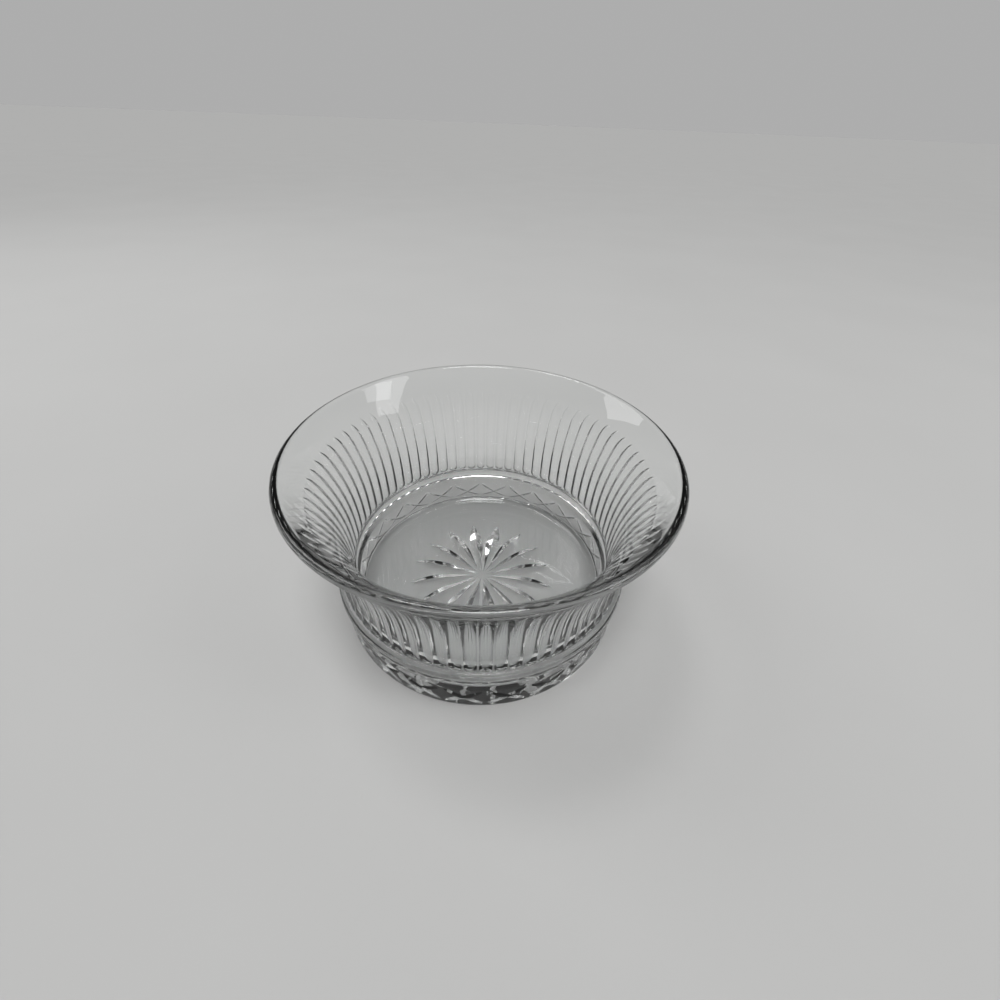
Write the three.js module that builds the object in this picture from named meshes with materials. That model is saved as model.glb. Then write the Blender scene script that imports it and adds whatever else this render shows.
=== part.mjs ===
import * as THREE from 'three';

// A clear pressed glass bowl in one piece, standing on z = 0 with its axis on Z. Millimetres.
// From the table up: flat base with a cut star underneath, a band of crossed cuts, a plain strip,
// a groove, a plain moulding, a tall wall of narrow flutes that flares to a rounded lip. The
// inside is smooth.

// Overall
const HEIGHT = 92;
const RIM_RADIUS = 90;
const LIP_RADIUS = 2.1;             // half the thickness of the rounded lip
const LIP_LEAN = 33 * Math.PI / 180; // how far the wall leans outward where it meets the lip

// Wall, outside
const WALL_RADIUS = 73.6;           // at the lower ends of the flutes
const WALL_FLARE_FROM = 33.5;       // height where the wall starts to lean outward
const FLARE_POWER = 2.6;

// Wall, inside
const WALL_THICKNESS = 7.2;         // at the lower ends of the flutes
const BASE_THICKNESS = 7;
const FLOOR_FILLET = 6;
const FLOOR_DRAFT = 1.5;            // how much narrower the inside is at the floor than at the flutes

// Flutes
const FLUTES = 72;
const FLUTE_FROM = 27.6;
const FLUTE_TO = 77.6;
const FLUTE_DEPTH = 0.9;
const FLUTE_FOOT = 3;               // length of the rounded lower end
const FLUTE_RUNOUT = 8;             // length of the rounded upper end

// Moulding between the flutes and the crossed cuts
const MOULDING_RADIUS = 76.4;
const MOULDING_FROM = 20.6;         // height of the groove's bottom
const MOULDING_STEP = 0.9;          // how far its lower edge stands out from the strip below it
const MOULDING_EDGE = 0.6;          // from the groove's bottom up to that edge
const MOULDING_CREST = 0.35;        // share of the height above that edge where it is widest
const GROOVE_HALF_WIDTH = 0.8;      // from the groove's bottom down to the strip
const GROOVE_DEPTH = 0.8;
const STRIP_RADIUS = 75;            // plain strip between the groove and the crossed cuts

// Band of crossed cuts
const CROSSES = 24;
const BAND_FROM = 1.6;
const BAND_TO = 15;
const BAND_FOOT_RADIUS = 75.1;
const BAND_TOP_RADIUS = 75.4;
const CUT_DEPTH = 0.85;
const CUT_HALF_WIDTH = 1.4;
const CUT_SHOULDER = 0.62;          // share of an arm's length out to which it keeps its width
const CUT_SHOULDER_DEPTH = 0.85;    // share of the depth that is left there
const CUT_SIDE_MARGIN = 1.1;        // from the tip of a cut to the edge of its field
const CUT_END_MARGIN = 1.3;

// Foot and star
const FOOT_CHAMFER = 0.8;
const STAR_RAYS = 16;
const STAR_FROM = 2;
const STAR_TO = 41;
const RAY_HALF_WIDTH = 3.7;
const RAY_DEPTH = 2.4;
const RAY_WIDEST = 0.62;            // share of the ray's length where it is widest

// Fineness
const COLUMNS = 72;
const STEPS_PER_FLUTE = 3;
const END_STEPS = 3;                // rings along each end of a flute
const STRAIGHT_STEPS = 3;           // rings between the two ends
const UPPER_STEPS = 3;              // rings from the flutes up to the lip
const INNER_STEPS = 7;              // rings down the smooth inside
const TAU = 2 * Math.PI;

const positions = [];
const triangles = [];

function vertex(radius, angle, z) {
  positions.push(radius * Math.cos(angle), radius * Math.sin(angle), z);
  return positions.length / 3 - 1;
}

function triangle(a, b, c) {
  triangles.push(a, b, c);
}

function quad(a, b, c, d) {
  triangle(a, b, c);
  triangle(a, c, d);
}

// A ring of points; the start angle lets a coarse ring sit between the flutes' ridges.
function ring(count, start, z, radiusAt) {
  const angles = Array.from({ length: count }, (_, i) => start + i * TAU / count);
  return { angles, points: angles.map((angle) => vertex(radiusAt(angle), angle, z)) };
}

// Joins two rings of any two counts, always stepping along the one that is behind.
function join(lower, upper) {
  const turn = (item, i) => item.angles[i % item.angles.length] + TAU * Math.floor(i / item.angles.length);
  const point = (item, i) => item.points[i % item.points.length];
  let i = 0;
  let j = 0;
  while (i < lower.points.length || j < upper.points.length) {
    const nextLower = turn(lower, i) + turn(lower, i + 1);
    const nextUpper = turn(upper, j) + turn(upper, j + 1);
    const stepLower = j === upper.points.length || (i < lower.points.length && nextLower <= nextUpper);
    if (stepLower) {
      triangle(point(lower, i), point(lower, i + 1), point(upper, j));
      i += 1;
    } else {
      triangle(point(lower, i), point(upper, j + 1), point(upper, j));
      j += 1;
    }
  }
}

const COARSE_START = -TAU / CROSSES / 2;
const FLUTE_STEP = TAU / (FLUTES * STEPS_PER_FLUTE);
const FINE_START = Math.round(COARSE_START / FLUTE_STEP) * FLUTE_STEP;
const plainRing = (radius, z) => ring(COLUMNS, COARSE_START, z, () => radius);

// Outer wall and lip
const lipCentre = RIM_RADIUS - LIP_RADIUS;
const lipHeight = HEIGHT - LIP_RADIUS;
const outerTop = { r: lipCentre + LIP_RADIUS * Math.cos(LIP_LEAN), z: lipHeight - LIP_RADIUS * Math.sin(LIP_LEAN) };
const innerTop = { r: lipCentre - LIP_RADIUS * Math.cos(LIP_LEAN), z: lipHeight + LIP_RADIUS * Math.sin(LIP_LEAN) };

function flare(base, top, z) {
  const share = Math.max(0, (z - WALL_FLARE_FROM) / (top.z - WALL_FLARE_FROM));
  return base + (top.r - base) * share ** FLARE_POWER;
}

const outerRadius = (z) => flare(WALL_RADIUS, outerTop, z);
const innerBase = WALL_RADIUS - WALL_THICKNESS;
const innerRadius = (z) => flare(innerBase, innerTop, z);

// How open a flute is at a height: 0 beyond its ends, 1 along its straight part.
function fluteOpening(z) {
  const fromFoot = Math.min(1, (z - FLUTE_FROM) / FLUTE_FOOT);
  const fromTop = Math.min(1, (FLUTE_TO - z) / FLUTE_RUNOUT);
  return Math.sqrt(1 - (1 - fromFoot) ** 2) * Math.sqrt(1 - (1 - fromTop) ** 2);
}

function flutedRadius(angle, z) {
  const opening = fluteOpening(z);
  const turns = angle / TAU * FLUTES;
  const across = 2 * Math.abs(turns - Math.floor(turns) - 0.5);
  const scoop = opening > 0 ? Math.max(0, 1 - (across / opening) ** 2) : 0;
  return outerRadius(z) - FLUTE_DEPTH * opening * scoop;
}

function fluteRings() {
  const straightFrom = FLUTE_FROM + FLUTE_FOOT;
  const straightTo = FLUTE_TO - FLUTE_RUNOUT;
  const heights = [];
  for (let i = 1; i <= END_STEPS; i += 1) {
    heights.push(FLUTE_FROM + FLUTE_FOOT * (1 - Math.cos(Math.PI / 2 * i / END_STEPS)));
  }
  for (let i = 1; i <= STRAIGHT_STEPS; i += 1) {
    heights.push(straightFrom + (straightTo - straightFrom) * i / STRAIGHT_STEPS);
  }
  for (let i = 1; i < END_STEPS; i += 1) {
    heights.push(straightTo + FLUTE_RUNOUT * Math.sin(Math.PI / 2 * i / END_STEPS));
  }
  return heights.map((z) => ring(FLUTES * STEPS_PER_FLUTE, FINE_START, z, (angle) => flutedRadius(angle, z)));
}

function plainUpperRings() {
  const rings = [];
  for (let i = 0; i <= UPPER_STEPS; i += 1) {
    const z = FLUTE_TO + (outerTop.z - FLUTE_TO) * i / UPPER_STEPS;
    rings.push(plainRing(outerRadius(z), z));
  }
  return rings;
}

function lipRings() {
  const steps = 5;
  const rings = [];
  for (let i = 1; i <= steps; i += 1) {
    const angle = -LIP_LEAN + Math.PI * i / steps;
    rings.push(plainRing(lipCentre + LIP_RADIUS * Math.cos(angle), lipHeight + LIP_RADIUS * Math.sin(angle)));
  }
  return rings;
}

// Smooth inside, from the lip down to the floor
function innerRings() {
  const rings = [];
  for (let i = 1; i <= INNER_STEPS; i += 1) {
    const z = innerTop.z + (FLUTE_FROM - innerTop.z) * i / INNER_STEPS;
    rings.push(plainRing(innerRadius(z), z));
  }
  const cornerRadius = innerBase - FLOOR_DRAFT - FLOOR_FILLET;
  const steps = 4;
  for (let i = 0; i <= steps; i += 1) {
    const angle = Math.PI / 2 * i / steps;
    const radius = cornerRadius + FLOOR_FILLET * Math.cos(angle);
    rings.push(plainRing(radius, BASE_THICKNESS + FLOOR_FILLET * (1 - Math.sin(angle))));
  }
  return rings;
}

function closeFloor(last) {
  const centre = vertex(0, 0, BASE_THICKNESS);
  last.points.forEach((point, i) => triangle(point, last.points[(i + 1) % COLUMNS], centre));
}

// The groove above the plain strip, then the moulding's edge, crest and round shoulder
function mouldingRings() {
  const edge = MOULDING_FROM + MOULDING_EDGE;
  const crest = edge + (FLUTE_FROM - edge) * MOULDING_CREST;
  const rings = [
    plainRing(STRIP_RADIUS, MOULDING_FROM - GROOVE_HALF_WIDTH),
    plainRing(STRIP_RADIUS - GROOVE_DEPTH, MOULDING_FROM),
    plainRing(STRIP_RADIUS + MOULDING_STEP, edge),
  ];
  const steps = 3;
  for (let i = 0; i <= steps; i += 1) {
    const angle = Math.PI / 2 * i / steps;
    const radius = WALL_RADIUS + (MOULDING_RADIUS - WALL_RADIUS) * Math.cos(angle);
    rings.push(plainRing(radius, crest + (FLUTE_FROM - crest) * Math.sin(angle)));
  }
  return rings;
}

// Triangulates a flat outline with holes; the corners are given as [x, y, vertex number].
function fill(outline, holes, flip) {
  const flat = (list) => list.map(([x, y]) => new THREE.Vector2(x, y));
  const all = [...outline, ...holes.flat()];
  for (const corners of THREE.ShapeUtils.triangulateShape(flat(outline), holes.map(flat))) {
    const [a, b, c] = corners.map((i) => all[i]);
    const turn = (b[0] - a[0]) * (c[1] - a[1]) - (b[1] - a[1]) * (c[0] - a[0]);
    if ((turn > 0) !== flip) {
      triangle(a[2], b[2], c[2]);
    } else {
      triangle(a[2], c[2], b[2]);
    }
  }
}

// The band is unrolled into fields, one per cross; x runs round the bowl and y up it, in mm.
const bandMiddleRadius = (BAND_FOOT_RADIUS + BAND_TOP_RADIUS) / 2;
const fieldHalfWidth = Math.PI * bandMiddleRadius / CROSSES;
const fieldHeight = BAND_TO - BAND_FROM;

function bandRadius(y) {
  return BAND_FOOT_RADIUS + (BAND_TOP_RADIUS - BAND_FOOT_RADIUS) * y / fieldHeight;
}

function bandVertex(fieldAngle, x, y, depth) {
  return vertex(bandRadius(y) - depth, fieldAngle + x / bandMiddleRadius, BAND_FROM + y);
}

// One cross: four arms from a shared deep point, each a V-shaped cut running out to a tip.
function crossOutline(fieldAngle) {
  const reachX = fieldHalfWidth - CUT_SIDE_MARGIN;
  const reachY = fieldHeight / 2 - CUT_END_MARGIN;
  const length = Math.hypot(reachX, reachY);
  const corners = [];
  const keels = [];
  const centre = bandVertex(fieldAngle, 0, fieldHeight / 2, CUT_DEPTH);
  const signs = [[1, 1], [-1, 1], [-1, -1], [1, -1]];
  const notch = [CUT_HALF_WIDTH * length / reachY, CUT_HALF_WIDTH * length / reachX];
  const notches = [[notch[0], 0], [0, notch[1]], [-notch[0], 0], [0, -notch[1]]];
  const place = (x, y) => [x, y + fieldHeight / 2, bandVertex(fieldAngle, x, y + fieldHeight / 2, 0)];
  signs.forEach(([sx, sy], k) => {
    const along = [sx * reachX / length, sy * reachY / length];
    const across = [-along[1], along[0]];
    const shoulder = along.map((part) => part * length * CUT_SHOULDER);
    const side = (hand) => place(shoulder[0] + hand * across[0] * CUT_HALF_WIDTH,
      shoulder[1] + hand * across[1] * CUT_HALF_WIDTH);
    corners.push(place(...notches[k]), side(-1), place(sx * reachX, sy * reachY), side(1));
    keels.push(bandVertex(fieldAngle, shoulder[0], shoulder[1] + fieldHeight / 2,
      CUT_DEPTH * CUT_SHOULDER_DEPTH));
  });
  return { corners, keels, centre };
}

function cutCross({ corners, keels, centre }) {
  keels.forEach((keel, k) => {
    const at = (i) => corners[(4 * k + i) % corners.length][2];
    quad(at(0), at(1), keel, centre);
    triangle(at(1), at(2), keel);
    triangle(at(2), at(3), keel);
    quad(at(3), at(4), centre, keel);
  });
}

// The fields share the band's edge rings and one middle point on each side.
function crossedBand(lower, upper) {
  const perField = COLUMNS / CROSSES;
  const fieldAngle = (k) => k * TAU / CROSSES;
  const middles = Array.from({ length: CROSSES },
    (_, k) => bandVertex(fieldAngle(k), -fieldHalfWidth, fieldHeight / 2, 0));
  for (let k = 0; k < CROSSES; k += 1) {
    const edge = (ringOf, y) => Array.from({ length: perField + 1 }, (_, i) => {
      const x = -fieldHalfWidth + 2 * fieldHalfWidth * i / perField;
      return [x, y, ringOf.points[(k * perField + i) % COLUMNS]];
    });
    const right = [fieldHalfWidth, fieldHeight / 2, middles[(k + 1) % CROSSES]];
    const left = [-fieldHalfWidth, fieldHeight / 2, middles[k]];
    const outline = [...edge(lower, 0), right, ...edge(upper, fieldHeight).reverse(), left];
    const cross = crossOutline(fieldAngle(k));
    fill(outline, [cross.corners], false);
    cutCross(cross);
  }
}

// One ray of the star: a pointed leaf outline and a keel cut up into the base.
function starRay(angle) {
  const stations = 5;
  const left = [];
  const right = [];
  const keel = [];
  const place = (along, across, height) => {
    const x = along * Math.cos(angle) - across * Math.sin(angle);
    const y = along * Math.sin(angle) + across * Math.cos(angle);
    positions.push(x, y, height);
    return [x, y, positions.length / 3 - 1];
  };
  for (let i = 1; i <= stations; i += 1) {
    const share = i / (stations + 1);
    const swell = Math.sin(Math.PI * share ** (Math.log(0.5) / Math.log(RAY_WIDEST)));
    const along = STAR_FROM + (STAR_TO - STAR_FROM) * share;
    left.push(place(along, RAY_HALF_WIDTH * swell, 0));
    right.push(place(along, -RAY_HALF_WIDTH * swell, 0));
    keel.push(place(along, 0, RAY_DEPTH * swell)[2]);
  }
  const inner = place(STAR_FROM, 0, 0);
  const outer = place(STAR_TO, 0, 0);
  const spine = [inner[2], ...keel, outer[2]];
  for (let i = 0; i <= stations; i += 1) {
    const sideOf = (list, j) => (j < 1 ? inner : j > stations ? outer : list[j - 1])[2];
    for (const [list, flip] of [[left, true], [right, false]]) {
      const a = sideOf(list, i);
      const b = sideOf(list, i + 1);
      const loop = [a, spine[i], spine[i + 1], b].filter((item, j, all) => all.indexOf(item) === j);
      const order = flip ? loop.reverse() : loop;
      for (let j = 1; j + 1 < order.length; j += 1) triangle(order[0], order[j], order[j + 1]);
    }
  }
  return [inner, ...right, outer, ...left.reverse()];
}

function underside(edge) {
  const outline = edge.points.map((point) => [positions[3 * point], positions[3 * point + 1], point]);
  const rays = Array.from({ length: STAR_RAYS }, (_, k) => starRay(k * TAU / STAR_RAYS));
  fill(outline, rays, true);
}

// Assembly, following the section from the foot's edge round to the middle of the floor
const footEdge = plainRing(BAND_FOOT_RADIUS - FOOT_CHAMFER, 0);
const bandLower = plainRing(BAND_FOOT_RADIUS, BAND_FROM);
const bandUpper = plainRing(BAND_TOP_RADIUS, BAND_TO);
underside(footEdge);
join(footEdge, bandLower);
crossedBand(bandLower, bandUpper);
const section = [
  bandUpper,
  ...mouldingRings(),
  ...fluteRings(),
  ...plainUpperRings(),
  ...lipRings(),
  ...innerRings(),
];
for (let i = 1; i < section.length; i += 1) join(section[i - 1], section[i]);
closeFloor(section[section.length - 1]);

const geometry = new THREE.BufferGeometry();
geometry.setAttribute('position', new THREE.Float32BufferAttribute(positions, 3));
geometry.setIndex(triangles);
geometry.computeVertexNormals();

const glass = new THREE.MeshStandardMaterial({ color: 0xe9eeee, roughness: 0.04, metalness: 0 });
const bowl = new THREE.Mesh(geometry, glass);
bowl.name = 'glass_bowl';

const group = new THREE.Group();
group.name = 'pressed_glass_bowl';
group.add(bowl);

export default group;
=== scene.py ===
import math

import bmesh
import bpy
from mathutils import Matrix, Vector
from mathutils.geometry import delaunay_2d_cdt


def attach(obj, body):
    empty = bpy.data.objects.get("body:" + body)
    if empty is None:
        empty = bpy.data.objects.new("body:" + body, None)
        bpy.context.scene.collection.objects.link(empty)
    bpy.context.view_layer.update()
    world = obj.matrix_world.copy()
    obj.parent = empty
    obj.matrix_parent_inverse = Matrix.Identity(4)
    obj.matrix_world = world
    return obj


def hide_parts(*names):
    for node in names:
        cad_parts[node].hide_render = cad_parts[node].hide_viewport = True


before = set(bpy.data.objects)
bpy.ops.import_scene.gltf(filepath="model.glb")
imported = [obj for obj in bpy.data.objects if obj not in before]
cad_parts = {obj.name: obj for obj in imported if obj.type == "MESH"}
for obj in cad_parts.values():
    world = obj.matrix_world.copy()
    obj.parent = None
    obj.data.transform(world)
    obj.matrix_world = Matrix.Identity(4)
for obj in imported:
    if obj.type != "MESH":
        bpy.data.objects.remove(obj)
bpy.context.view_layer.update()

# A clear pressed glass bowl in one piece. Its shape is worked out in millimetres, as in the solid
# model, and made into metres when the mesh is written.
MM = 0.001
TAU = 2 * math.pi

# Overall
HEIGHT = 92.0
RIM_RADIUS = 90.0
LIP_RADIUS = 2.1              # half the thickness of the rounded lip
LIP_LEAN = math.radians(33)   # how far the wall leans outward where it meets the lip

# Wall
WALL_RADIUS = 73.6            # outside, at the lower ends of the flutes
WALL_FLARE_FROM = 33.5        # height where the wall starts to lean outward
FLARE_POWER = 2.6
WALL_THICKNESS = 7.2
BASE_THICKNESS = 7.0
FLOOR_FILLET = 6.0
FLOOR_DRAFT = 1.5             # how much narrower the inside is at the floor than at the flutes

# Flutes
FLUTES = 72
FLUTE_FROM = 27.6
FLUTE_TO = 77.6
FLUTE_DEPTH = 0.9
FLUTE_FOOT = 3.0              # length of the rounded lower end
FLUTE_RUNOUT = 8.0            # length of the rounded upper end
RIDGE_WIDTH = 0.8             # plain strip between two flutes

# Moulding, with the groove and the plain strip below it
MOULDING_RADIUS = 76.4
MOULDING_FROM = 20.6          # height of the groove's bottom
MOULDING_STEP = 0.9           # how far its lower edge stands out from the strip
MOULDING_EDGE = 0.6           # from the groove's bottom up to that edge
MOULDING_CREST = 0.35         # share of the height above that edge where it is widest
GROOVE_HALF_WIDTH = 0.8
GROOVE_DEPTH = 0.8
STRIP_RADIUS = 75.0

# Band of crossed cuts
CROSSES = 24
BAND_FROM = 1.6
BAND_TO = 15.0
BAND_FOOT_RADIUS = 75.1
BAND_TOP_RADIUS = 75.4
CUT_DEPTH = 0.85
CUT_HALF_WIDTH = 1.4
CUT_BLUNTNESS = 4             # the higher, the further out a cut keeps its width
CUT_SIDE_MARGIN = 1.1         # from the tip of a cut to the edge of its field
CUT_END_MARGIN = 1.3

# Foot and star
FOOT_CHAMFER = 0.8
STAR_RAYS = 16
STAR_FROM = 2.0
STAR_TO = 41.0
RAY_HALF_WIDTH = 3.7
RAY_DEPTH = 2.4
RAY_WIDEST = 0.62             # share of the ray's length where it is widest

# Fineness: rows of points up each form, and points across it
COLUMNS = 360
COLUMNS_START = -TAU / CROSSES / 2
FOOT_ROWS = 5
STRIP_ROWS = 5
CREST_ROWS = 5
SHOULDER_ROWS = 9
FLUTE_COLUMNS = 9
FLUTE_END_ROWS = 9
FLUTE_STRAIGHT_ROWS = 26
UPPER_ROWS = 14
LIP_ROWS = 16
INNER_ROWS = 44
FILLET_ROWS = 10
RAY_STEPS = 18
FIELD_STEPS = 14              # along the line between two fields of the band
ARM_STATIONS = (0.27, 0.42, 0.56, 0.68, 0.78, 0.86, 0.92, 0.965)  # closer towards a cut's tip
CUT_GRID = 1.1                # spacing of the points on the plain glass round the cuts
SIDE_CLEARANCE = 0.4          # from those points to a cut's side
TIP_CLEARANCE = 0.3           # and to its tip
MERGE_DISTANCE = 1e-6
SHARP_ANGLE = math.radians(22)

# Glass
GLASS_IOR = 1.52
GLASS_TINTS = ((0.955, 0.968, 0.962, 1), (0.985, 0.990, 0.988, 1))
GLASS_TINT_SCALE = 30.0
GLASS_ROUGHNESS = 0.02        # at its roughest
GLASS_WEAR_SCALE = 260.0
GLASS_WEAR_DETAIL = 4.0
WAVE_SCALE = 55.0
WAVE_DETAIL = 1.0
WAVE_STRENGTH = 0.25
WAVE_HEIGHT = 0.0004          # metres

# Studio
AIR_GAP = 0.3                 # thin layer of air between the foot and the floor
FLOOR_RADIUS = 60.0           # metres
FLOOR_SIDES = 128
FLOOR_TONES = ((0.49, 0.49, 0.485, 1), (0.52, 0.52, 0.515, 1))
FLOOR_TONE_SCALE = 6.0
WORLD_SHADES = ((0.0, 0.42), (0.20, 0.42), (0.40, 0.10), (0.60, 0.10), (0.80, 0.45), (1.0, 0.45))

# Camera, from the shapes that the bowl's circles take in the photo
FOCAL_PX = 442.0
IMAGE_PX = 1000.0
SENSOR_WIDTH = 36.0
NEAREST = 0.01                # metres
CAMERA_TILT = math.radians(40.6)
CAMERA_ROLL = math.radians(2.3)
BOWL_TURN = math.radians(11.7)
CAMERA_SIDE = 0.095 * RIM_RADIUS
CAMERA_RISE = -0.247 * RIM_RADIUS
CAMERA_BACK = 2.237 * RIM_RADIUS

verts = []
faces = []


def vertex(radius, angle, z):
    verts.append((radius * math.cos(angle), radius * math.sin(angle), z))
    return len(verts) - 1


def ring(radius, z):
    """A plain circle as a list of (angle, vertex)."""
    angles = [COLUMNS_START + i * TAU / COLUMNS for i in range(COLUMNS)]
    return [(angle, vertex(radius, angle, z)) for angle in angles]


def quarter_turns(count):
    """Angles that divide a quarter turn evenly, without its start."""
    return [math.pi / 2 * i / count for i in range(1, count + 1)]


def join(lower, upper):
    """Closes the strip between two rings, which may have different counts."""
    n, m = len(lower), len(upper)
    if n == m:
        for i in range(n):
            k = (i + 1) % n
            faces.append((lower[i][1], lower[k][1], upper[k][1], upper[i][1]))
        return
    i = j = 0
    while i < n or j < m:
        lower_next = lower[(i + 1) % n][0] + TAU * ((i + 1) // n)
        upper_next = upper[(j + 1) % m][0] + TAU * ((j + 1) // m)
        if j == m or (i < n and lower_next <= upper_next):
            faces.append((lower[i % n][1], lower[(i + 1) % n][1], upper[j % m][1]))
            i += 1
        else:
            faces.append((lower[i % n][1], upper[(j + 1) % m][1], upper[j % m][1]))
            j += 1


def triangulate(points, edges):
    """Delaunay triangles that keep the given edges; names gives the number of each point used."""
    out, _, tris, origin, _, _ = delaunay_2d_cdt(points, edges, [], 0, MERGE_DISTANCE)
    names = [source[0] for source in origin]
    turned = []
    for a, b, c in tris:
        area = (out[b] - out[a]).cross(out[c] - out[a])
        turned.append((a, b, c) if area > 0 else (a, c, b))
    return turned, names


# Wall and lip
LIP_CENTRE = RIM_RADIUS - LIP_RADIUS
LIP_HEIGHT = HEIGHT - LIP_RADIUS
LEAN_OUT = LIP_RADIUS * math.cos(LIP_LEAN)
LEAN_UP = LIP_RADIUS * math.sin(LIP_LEAN)
OUTER_TOP = (LIP_CENTRE + LEAN_OUT, LIP_HEIGHT - LEAN_UP)
INNER_TOP = (LIP_CENTRE - LEAN_OUT, LIP_HEIGHT + LEAN_UP)
INNER_BASE = WALL_RADIUS - WALL_THICKNESS


def flare(base, top, z):
    share = max(0.0, (z - WALL_FLARE_FROM) / (top[1] - WALL_FLARE_FROM))
    return base + (top[0] - base) * share ** FLARE_POWER


def flute_row(z, opening):
    """One row round the wall; opening is the share of its full width and depth a flute has here."""
    radius = flare(WALL_RADIUS, OUTER_TOP, z)
    half = TAU / FLUTES / 2 - RIDGE_WIDTH / 2 / WALL_RADIUS
    first = round(COLUMNS_START * FLUTES / TAU - 0.5)
    row = []
    for k in range(first, first + FLUTES):
        centre = (k + 0.5) * TAU / FLUTES
        for i in range(FLUTE_COLUMNS):
            across = 2 * i / (FLUTE_COLUMNS - 1) - 1
            angle = centre + half * opening * across
            depth = FLUTE_DEPTH * opening * (1 - across * across)
            row.append((angle, vertex(radius - depth, angle, z)))
    return row


def flute_rows():
    """The rounded lower ends, the straight part and the rounded upper ends."""
    low, high = FLUTE_FROM + FLUTE_FOOT, FLUTE_TO - FLUTE_RUNOUT
    ends = quarter_turns(FLUTE_END_ROWS)[:-1]
    rows = [flute_row(FLUTE_FROM + FLUTE_FOOT * (1 - math.cos(turn)), math.sin(turn)) for turn in ends]
    for i in range(FLUTE_STRAIGHT_ROWS + 1):
        rows.append(flute_row(low + (high - low) * i / FLUTE_STRAIGHT_ROWS, 1.0))
    rows += [flute_row(high + FLUTE_RUNOUT * math.sin(turn), math.cos(turn)) for turn in ends]
    return rows


def upper_rows():
    """The plain wall above the flutes, and over the lip to the inside."""
    rows = []
    for i in range(1, UPPER_ROWS + 1):
        z = FLUTE_TO + (OUTER_TOP[1] - FLUTE_TO) * i / UPPER_ROWS
        rows.append(ring(flare(WALL_RADIUS, OUTER_TOP, z), z))
    for i in range(1, LIP_ROWS + 1):
        turn = math.pi * i / LIP_ROWS - LIP_LEAN
        rows.append(ring(LIP_CENTRE + LIP_RADIUS * math.cos(turn),
                         LIP_HEIGHT + LIP_RADIUS * math.sin(turn)))
    return rows


def inner_rows():
    """The smooth inside, down to the flat floor."""
    rows = []
    for i in range(1, INNER_ROWS + 1):
        z = INNER_TOP[1] + (FLUTE_FROM - INNER_TOP[1]) * i / INNER_ROWS
        rows.append(ring(flare(INNER_BASE, INNER_TOP, z), z))
    corner = INNER_BASE - FLOOR_DRAFT - FLOOR_FILLET
    for turn in [0.0] + quarter_turns(FILLET_ROWS):
        z = BASE_THICKNESS + FLOOR_FILLET * (1 - math.sin(turn))
        rows.append(ring(corner + FLOOR_FILLET * math.cos(turn), z))
    return rows


def moulding_rows():
    """The plain strip, a pointed groove, a crest and a round shoulder up to the flutes."""
    rows = []
    strip_to = MOULDING_FROM - GROOVE_HALF_WIDTH
    for i in range(1, STRIP_ROWS + 1):
        share = i / STRIP_ROWS
        rows.append(ring(BAND_TOP_RADIUS + (STRIP_RADIUS - BAND_TOP_RADIUS) * share,
                         BAND_TO + (strip_to - BAND_TO) * share))
    rows.append(ring(STRIP_RADIUS - GROOVE_DEPTH, MOULDING_FROM))
    base = MOULDING_FROM + MOULDING_EDGE
    crest = base + (FLUTE_FROM - base) * MOULDING_CREST
    lower_edge = STRIP_RADIUS + MOULDING_STEP
    rows.append(ring(lower_edge, base))
    for turn in quarter_turns(CREST_ROWS):
        rows.append(ring(lower_edge + (MOULDING_RADIUS - lower_edge) * math.sin(turn),
                         base + (crest - base) * (1 - math.cos(turn))))
    for turn in quarter_turns(SHOULDER_ROWS):
        rows.append(ring(WALL_RADIUS + (MOULDING_RADIUS - WALL_RADIUS) * math.cos(turn),
                         crest + (FLUTE_FROM - crest) * math.sin(turn)))
    return rows


# Band of crossed cuts, unrolled into one field for each cross; x runs round the bowl and y up it
BAND_MIDDLE_RADIUS = (BAND_FOOT_RADIUS + BAND_TOP_RADIUS) / 2
FIELD_HALF = math.pi * BAND_MIDDLE_RADIUS / CROSSES
FIELD_HEIGHT = BAND_TO - BAND_FROM
HALF_HEIGHT = FIELD_HEIGHT / 2
REACH_X = FIELD_HALF - CUT_SIDE_MARGIN
REACH_Y = HALF_HEIGHT - CUT_END_MARGIN
ARM = math.hypot(REACH_X, REACH_Y)


def cut_width(share):
    """Half the width of a cut at a share of its arm's length."""
    return CUT_HALF_WIDTH * math.sqrt(max(0.0, 1 - share ** CUT_BLUNTNESS))


def cross_points():
    """The cross as points (x, y, depth), and the edges that keep its outline and keels."""
    points = [(0.0, 0.0, CUT_DEPTH)]
    edges = []
    notches = []
    for x, y in ((ARM / REACH_Y, 0), (0, ARM / REACH_X), (-ARM / REACH_Y, 0), (0, -ARM / REACH_X)):
        notches.append(len(points))
        points.append((x * CUT_HALF_WIDTH, y * CUT_HALF_WIDTH, 0.0))
    for k, (sx, sy) in enumerate(((1, 1), (-1, 1), (-1, -1), (1, -1))):
        along = Vector((sx * REACH_X / ARM, sy * REACH_Y / ARM))
        across = Vector((-along.y, along.x))
        right, left, keel = [notches[k]], [notches[(k + 1) % len(notches)]], [0]
        for share in ARM_STATIONS:
            width = cut_width(share)
            for chain, side, depth in ((right, -width, 0.0), (left, width, 0.0),
                                       (keel, 0.0, CUT_DEPTH * width / CUT_HALF_WIDTH)):
                p = along * ARM * share + across * side
                chain.append(len(points))
                points.append((p.x, p.y, depth))
        tip = len(points)
        points.append((sx * REACH_X, sy * REACH_Y, 0.0))
        for chain in (right, left, keel):
            chain.append(tip)
            edges += list(zip(chain, chain[1:]))
        edges += [(0, notches[k])]
    return points, edges


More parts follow.
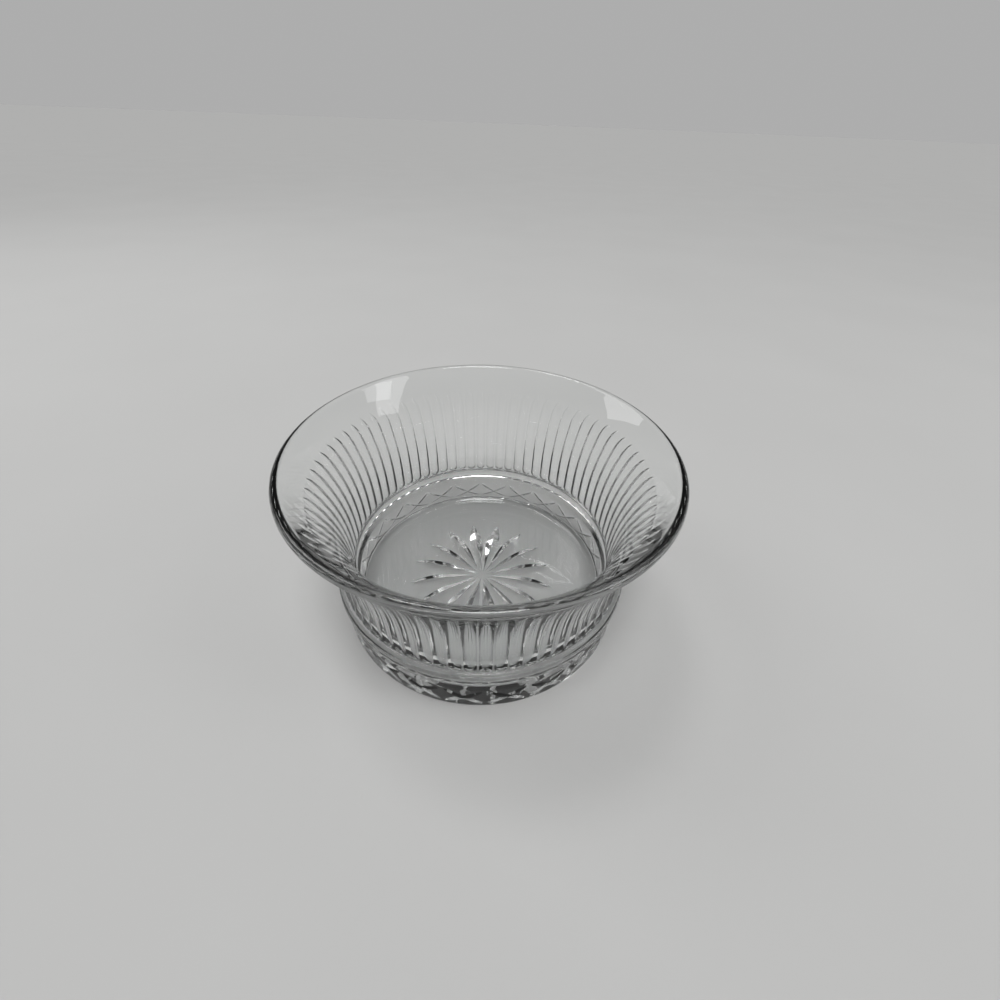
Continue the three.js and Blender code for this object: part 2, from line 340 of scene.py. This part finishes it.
def clear_of_cross(x, y):
    for sign in (1, -1):
        along = abs(x * REACH_X + sign * y * REACH_Y) / ARM
        across = abs(x * REACH_Y - sign * y * REACH_X) / ARM
        side = cut_width(min(1.0, along / ARM))
        if along < ARM + TIP_CLEARANCE and across < side + SIDE_CLEARANCE:
            return False
    return True


def plain_points():
    """A grid of points over a field, left out where the cross is."""
    nx, ny = int(2 * FIELD_HALF / CUT_GRID), int(FIELD_HEIGHT / CUT_GRID)
    grid = []
    for i in range(1, nx):
        for j in range(1, ny):
            x, y = 2 * FIELD_HALF * i / nx - FIELD_HALF, FIELD_HEIGHT * j / ny - HALF_HEIGHT
            if clear_of_cross(x, y):
                grid.append((x, y, 0.0))
    return grid


def band_vertex(k, x, y, depth):
    share = (y + HALF_HEIGHT) / FIELD_HEIGHT
    radius = BAND_FOOT_RADIUS + (BAND_TOP_RADIUS - BAND_FOOT_RADIUS) * share
    angle = k * TAU / CROSSES + x / BAND_MIDDLE_RADIUS
    return vertex(radius - depth, angle, BAND_FROM + y + HALF_HEIGHT)


def crossed_band(lower, upper):
    """Fields between two rings; neighbours share the points on the line between them."""
    per_field = COLUMNS // CROSSES
    heights = [FIELD_HEIGHT * i / FIELD_STEPS - HALF_HEIGHT for i in range(1, FIELD_STEPS)]
    seams = [[band_vertex(k, -FIELD_HALF, y, 0.0) for y in heights] for k in range(CROSSES)]
    cross, cross_edges = cross_points()
    xs = [2 * FIELD_HALF * i / per_field - FIELD_HALF for i in range(per_field + 1)]
    border = [(x, -HALF_HEIGHT) for x in xs] + [(FIELD_HALF, y) for y in heights]
    border += [(x, HALF_HEIGHT) for x in reversed(xs)] + [(-FIELD_HALF, y) for y in reversed(heights)]
    inside = cross + plain_points()
    flat = [Vector(p[:2]) for p in border + inside]
    n = len(border)
    edges = [(i, (i + 1) % n) for i in range(n)] + [(a + n, b + n) for a, b in cross_edges]
    tris, names = triangulate(flat, edges)
    for k in range(CROSSES):
        low = [lower[(k * per_field + i) % COLUMNS][1] for i in range(per_field + 1)]
        high = [upper[(k * per_field + i) % COLUMNS][1] for i in range(per_field + 1)]
        ids = low + seams[(k + 1) % CROSSES] + high[::-1] + seams[k][::-1]
        ids += [band_vertex(k, x, y, depth) for x, y, depth in inside]
        faces.extend(tuple(ids[names[i]] for i in tri) for tri in tris)


# Underside
def ray_swell(share):
    return math.sin(math.pi * share ** (math.log(0.5) / math.log(RAY_WIDEST)))


def underside(edge):
    """Flat face inside the foot's edge, with a star of pointed cuts."""
    points = [Vector(verts[i][:2]) for _, i in edge]
    ids = [i for _, i in edge]
    n = len(ids)
    edges = [(i, (i + 1) % n) for i in range(n)]

    def add(p, height):
        verts.append((p.x, p.y, height))
        ids.append(len(verts) - 1)
        points.append(p)
        return len(points) - 1

    for k in range(STAR_RAYS):
        turn = k * TAU / STAR_RAYS
        along = Vector((math.cos(turn), math.sin(turn)))
        across = Vector((-along.y, along.x))
        inner, outer = add(along * STAR_FROM, 0.0), add(along * STAR_TO, 0.0)
        chains = [[inner], [inner], [inner]]
        for i in range(1, RAY_STEPS):
            share = i / RAY_STEPS
            p = along * (STAR_FROM + (STAR_TO - STAR_FROM) * share)
            swell = ray_swell(share)
            for chain, side, height in zip(chains, (-1, 0, 1), (0.0, RAY_DEPTH * swell, 0.0)):
                chain.append(add(p + across * RAY_HALF_WIDTH * swell * side, height))
        for chain in chains:
            chain.append(outer)
            edges += list(zip(chain, chain[1:]))
    tris, names = triangulate(points, edges)
    faces.extend(tuple(ids[names[i]] for i in reversed(tri)) for tri in tris)


def foot_rows():
    """The round edge from the underside up to the band."""
    rows = []
    for turn in quarter_turns(FOOT_ROWS):
        radius = BAND_FOOT_RADIUS - FOOT_CHAMFER * (1 - math.sin(turn))
        rows.append(ring(radius, BAND_FROM * (1 - math.cos(turn))))
    return rows


# Assembly, from the underside out, up the wall, over the lip and down to the floor of the inside
def shape_bowl():
    edge = ring(BAND_FOOT_RADIUS - FOOT_CHAMFER, 0.0)
    underside(edge)
    foot = [edge] + foot_rows()
    for a, b in zip(foot, foot[1:]):
        join(a, b)
    upper = ring(BAND_TOP_RADIUS, BAND_TO)
    crossed_band(foot[-1], upper)
    rows = [upper] + moulding_rows() + flute_rows() + upper_rows() + inner_rows()
    for a, b in zip(rows, rows[1:]):
        join(a, b)
    centre = vertex(0.0, 0.0, BASE_THICKNESS)
    last = rows[-1]
    for i in range(COLUMNS):
        faces.append((last[i][1], last[(i + 1) % COLUMNS][1], centre))


def build_bowl():
    shape_bowl()
    bm = bmesh.new()
    points = [bm.verts.new(Vector(v) * MM) for v in verts]
    for face in faces:
        bm.faces.new([points[i] for i in face])
    bm.normal_update()
    mesh = bpy.data.meshes.new("glass_bowl_fine")
    bm.to_mesh(mesh)
    bm.free()
    mesh.shade_smooth()
    mesh.set_sharp_from_angle(angle=SHARP_ANGLE)
    bowl = bpy.data.objects.new("glass_bowl_fine", mesh)
    bpy.context.collection.objects.link(bowl)
    return bowl


# Materials
def new_material(name):
    material = bpy.data.materials.new(name)
    material.use_nodes = True
    nodes, links = material.node_tree.nodes, material.node_tree.links
    return material, nodes, links, nodes["Principled BSDF"]


def noise(nodes, links, scale, detail=3.0):
    coords = nodes.new("ShaderNodeTexCoord")
    texture = nodes.new("ShaderNodeTexNoise")
    texture.inputs["Scale"].default_value = scale
    texture.inputs["Detail"].default_value = detail
    links.new(coords.outputs["Object"], texture.inputs["Vector"])
    return texture.outputs["Fac"]


def mottle(nodes, links, shader, tones, scale):
    """Lets the colour wander between two close tones."""
    tone = nodes.new("ShaderNodeMix")
    tone.data_type = "RGBA"
    tone.inputs["A"].default_value, tone.inputs["B"].default_value = tones
    links.new(noise(nodes, links, scale), tone.inputs["Factor"])
    links.new(tone.outputs["Result"], shader.inputs["Base Color"])


def glass_material():
    """Clear pressed glass with a faint grey-green cast, a trace of wear and slight waves."""
    material, nodes, links, shader = new_material("pressed_glass")
    shader.inputs["Transmission Weight"].default_value = 1.0
    shader.inputs["IOR"].default_value = GLASS_IOR
    mottle(nodes, links, shader, GLASS_TINTS, GLASS_TINT_SCALE)

    wear = nodes.new("ShaderNodeMapRange")
    wear.inputs["To Min"].default_value = 0.0
    wear.inputs["To Max"].default_value = GLASS_ROUGHNESS
    links.new(noise(nodes, links, GLASS_WEAR_SCALE, GLASS_WEAR_DETAIL), wear.inputs["Value"])
    links.new(wear.outputs["Result"], shader.inputs["Roughness"])

    bump = nodes.new("ShaderNodeBump")
    bump.inputs["Strength"].default_value = WAVE_STRENGTH
    bump.inputs["Distance"].default_value = WAVE_HEIGHT
    links.new(noise(nodes, links, WAVE_SCALE, WAVE_DETAIL), bump.inputs["Height"])
    links.new(bump.outputs["Normal"], shader.inputs["Normal"])
    return material


def floor_material():
    material, nodes, links, shader = new_material("studio_floor")
    mottle(nodes, links, shader, FLOOR_TONES, FLOOR_TONE_SCALE)
    shader.inputs["Roughness"].default_value = 1.0
    shader.inputs["Specular IOR Level"].default_value = 0.0
    return material


# Studio
def make_floor():
    bpy.ops.mesh.primitive_circle_add(vertices=FLOOR_SIDES, radius=FLOOR_RADIUS, fill_type="NGON",
                                      location=(0, 0, -AIR_GAP * MM))
    floor = bpy.context.object
    floor.name = "studio_floor"
    floor.data.materials.append(floor_material())


def make_world():
    """Pale at the horizon and overhead, with a darker belt between for the glass to show."""
    world = bpy.data.worlds.new("studio")
    world.use_nodes = True
    nodes, links = world.node_tree.nodes, world.node_tree.links
    coords = nodes.new("ShaderNodeTexCoord")
    parts = nodes.new("ShaderNodeSeparateXYZ")
    links.new(coords.outputs["Generated"], parts.inputs["Vector"])
    shades = nodes.new("ShaderNodeValToRGB")
    steps = shades.color_ramp.elements
    for place, _ in WORLD_SHADES[1:-1]:
        steps.new(place)
    for step, (_, value) in zip(steps, WORLD_SHADES):
        step.color = (value, value, value, 1)
    links.new(parts.outputs["Z"], shades.inputs["Fac"])
    links.new(shades.outputs["Color"], nodes["Background"].inputs["Color"])
    bpy.context.scene.world = world


def soft_sun(name, place, width, strength):
    """A distant lamp, width degrees wide, which lights the floor evenly out to the horizon."""
    lamp = bpy.data.lights.new(name, "SUN")
    lamp.angle = math.radians(width)
    lamp.energy = strength
    holder = bpy.data.objects.new(name, lamp)
    holder.rotation_euler = (-Vector(place)).to_track_quat("-Z", "Y").to_euler()
    bpy.context.collection.objects.link(holder)


def softbox(name, place, size, power):
    """A soft lamp that faces the middle of the bowl; its place and size are in metres."""
    lamp = bpy.data.lights.new(name, "AREA")
    lamp.shape = "RECTANGLE"
    lamp.size, lamp.size_y = size
    lamp.energy = power
    holder = bpy.data.objects.new(name, lamp)
    holder.location = place
    aim = Vector((0, 0, HEIGHT / 2 * MM)) - holder.location
    holder.rotation_euler = aim.to_track_quat("-Z", "Y").to_euler()
    bpy.context.collection.objects.link(holder)


def photo_direction(vector):
    """Turns a vector from the photo's frame, which looks along +Y, into the bowl's own frame."""
    return Matrix.Rotation(-BOWL_TURN, 3, "Z") @ Vector(vector)


def make_camera():
    tilt_sin, tilt_cos = math.sin(CAMERA_TILT), math.cos(CAMERA_TILT)
    forward = Vector((0, tilt_cos, -tilt_sin))
    up = Vector((0, tilt_sin, tilt_cos))
    right = Vector((1, 0, 0))
    place = right * CAMERA_SIDE + up * CAMERA_RISE - forward * CAMERA_BACK
    rolled_right = right * math.cos(CAMERA_ROLL) + up * math.sin(CAMERA_ROLL)
    rolled_up = up * math.cos(CAMERA_ROLL) - right * math.sin(CAMERA_ROLL)

    lens = bpy.data.cameras.new("camera")
    lens.sensor_width = SENSOR_WIDTH
    lens.lens = lens.sensor_width * FOCAL_PX / IMAGE_PX
    lens.clip_start = NEAREST
    camera = bpy.data.objects.new("camera", lens)
    axes = [photo_direction(axis) for axis in (rolled_right, rolled_up, -forward)]
    station = (photo_direction(place) + Vector((0, 0, LIP_HEIGHT))) * MM
    camera.matrix_world = Matrix.Translation(station) @ Matrix(axes).transposed().to_4x4()
    bpy.context.collection.objects.link(camera)
    bpy.context.scene.camera = camera


make_camera()
bowl = build_bowl()
bowl.data.materials.append(glass_material())
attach(bowl, "root")
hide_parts("glass_bowl")
make_floor()
make_world()
softbox("softbox_left", photo_direction((-0.9, 0.3, 1.0)), size=(0.5, 0.7), power=3)
softbox("softbox_right", photo_direction((1.0, -0.2, 0.9)), size=(0.35, 0.7), power=2)
soft_sun("top", photo_direction((0.05, -0.25, 1.0)), width=24, strength=1.4)
soft_sun("back", photo_direction((-0.25, 0.3, 1.0)), width=14, strength=0.4)
bpy.context.scene.view_settings.view_transform = "Standard"
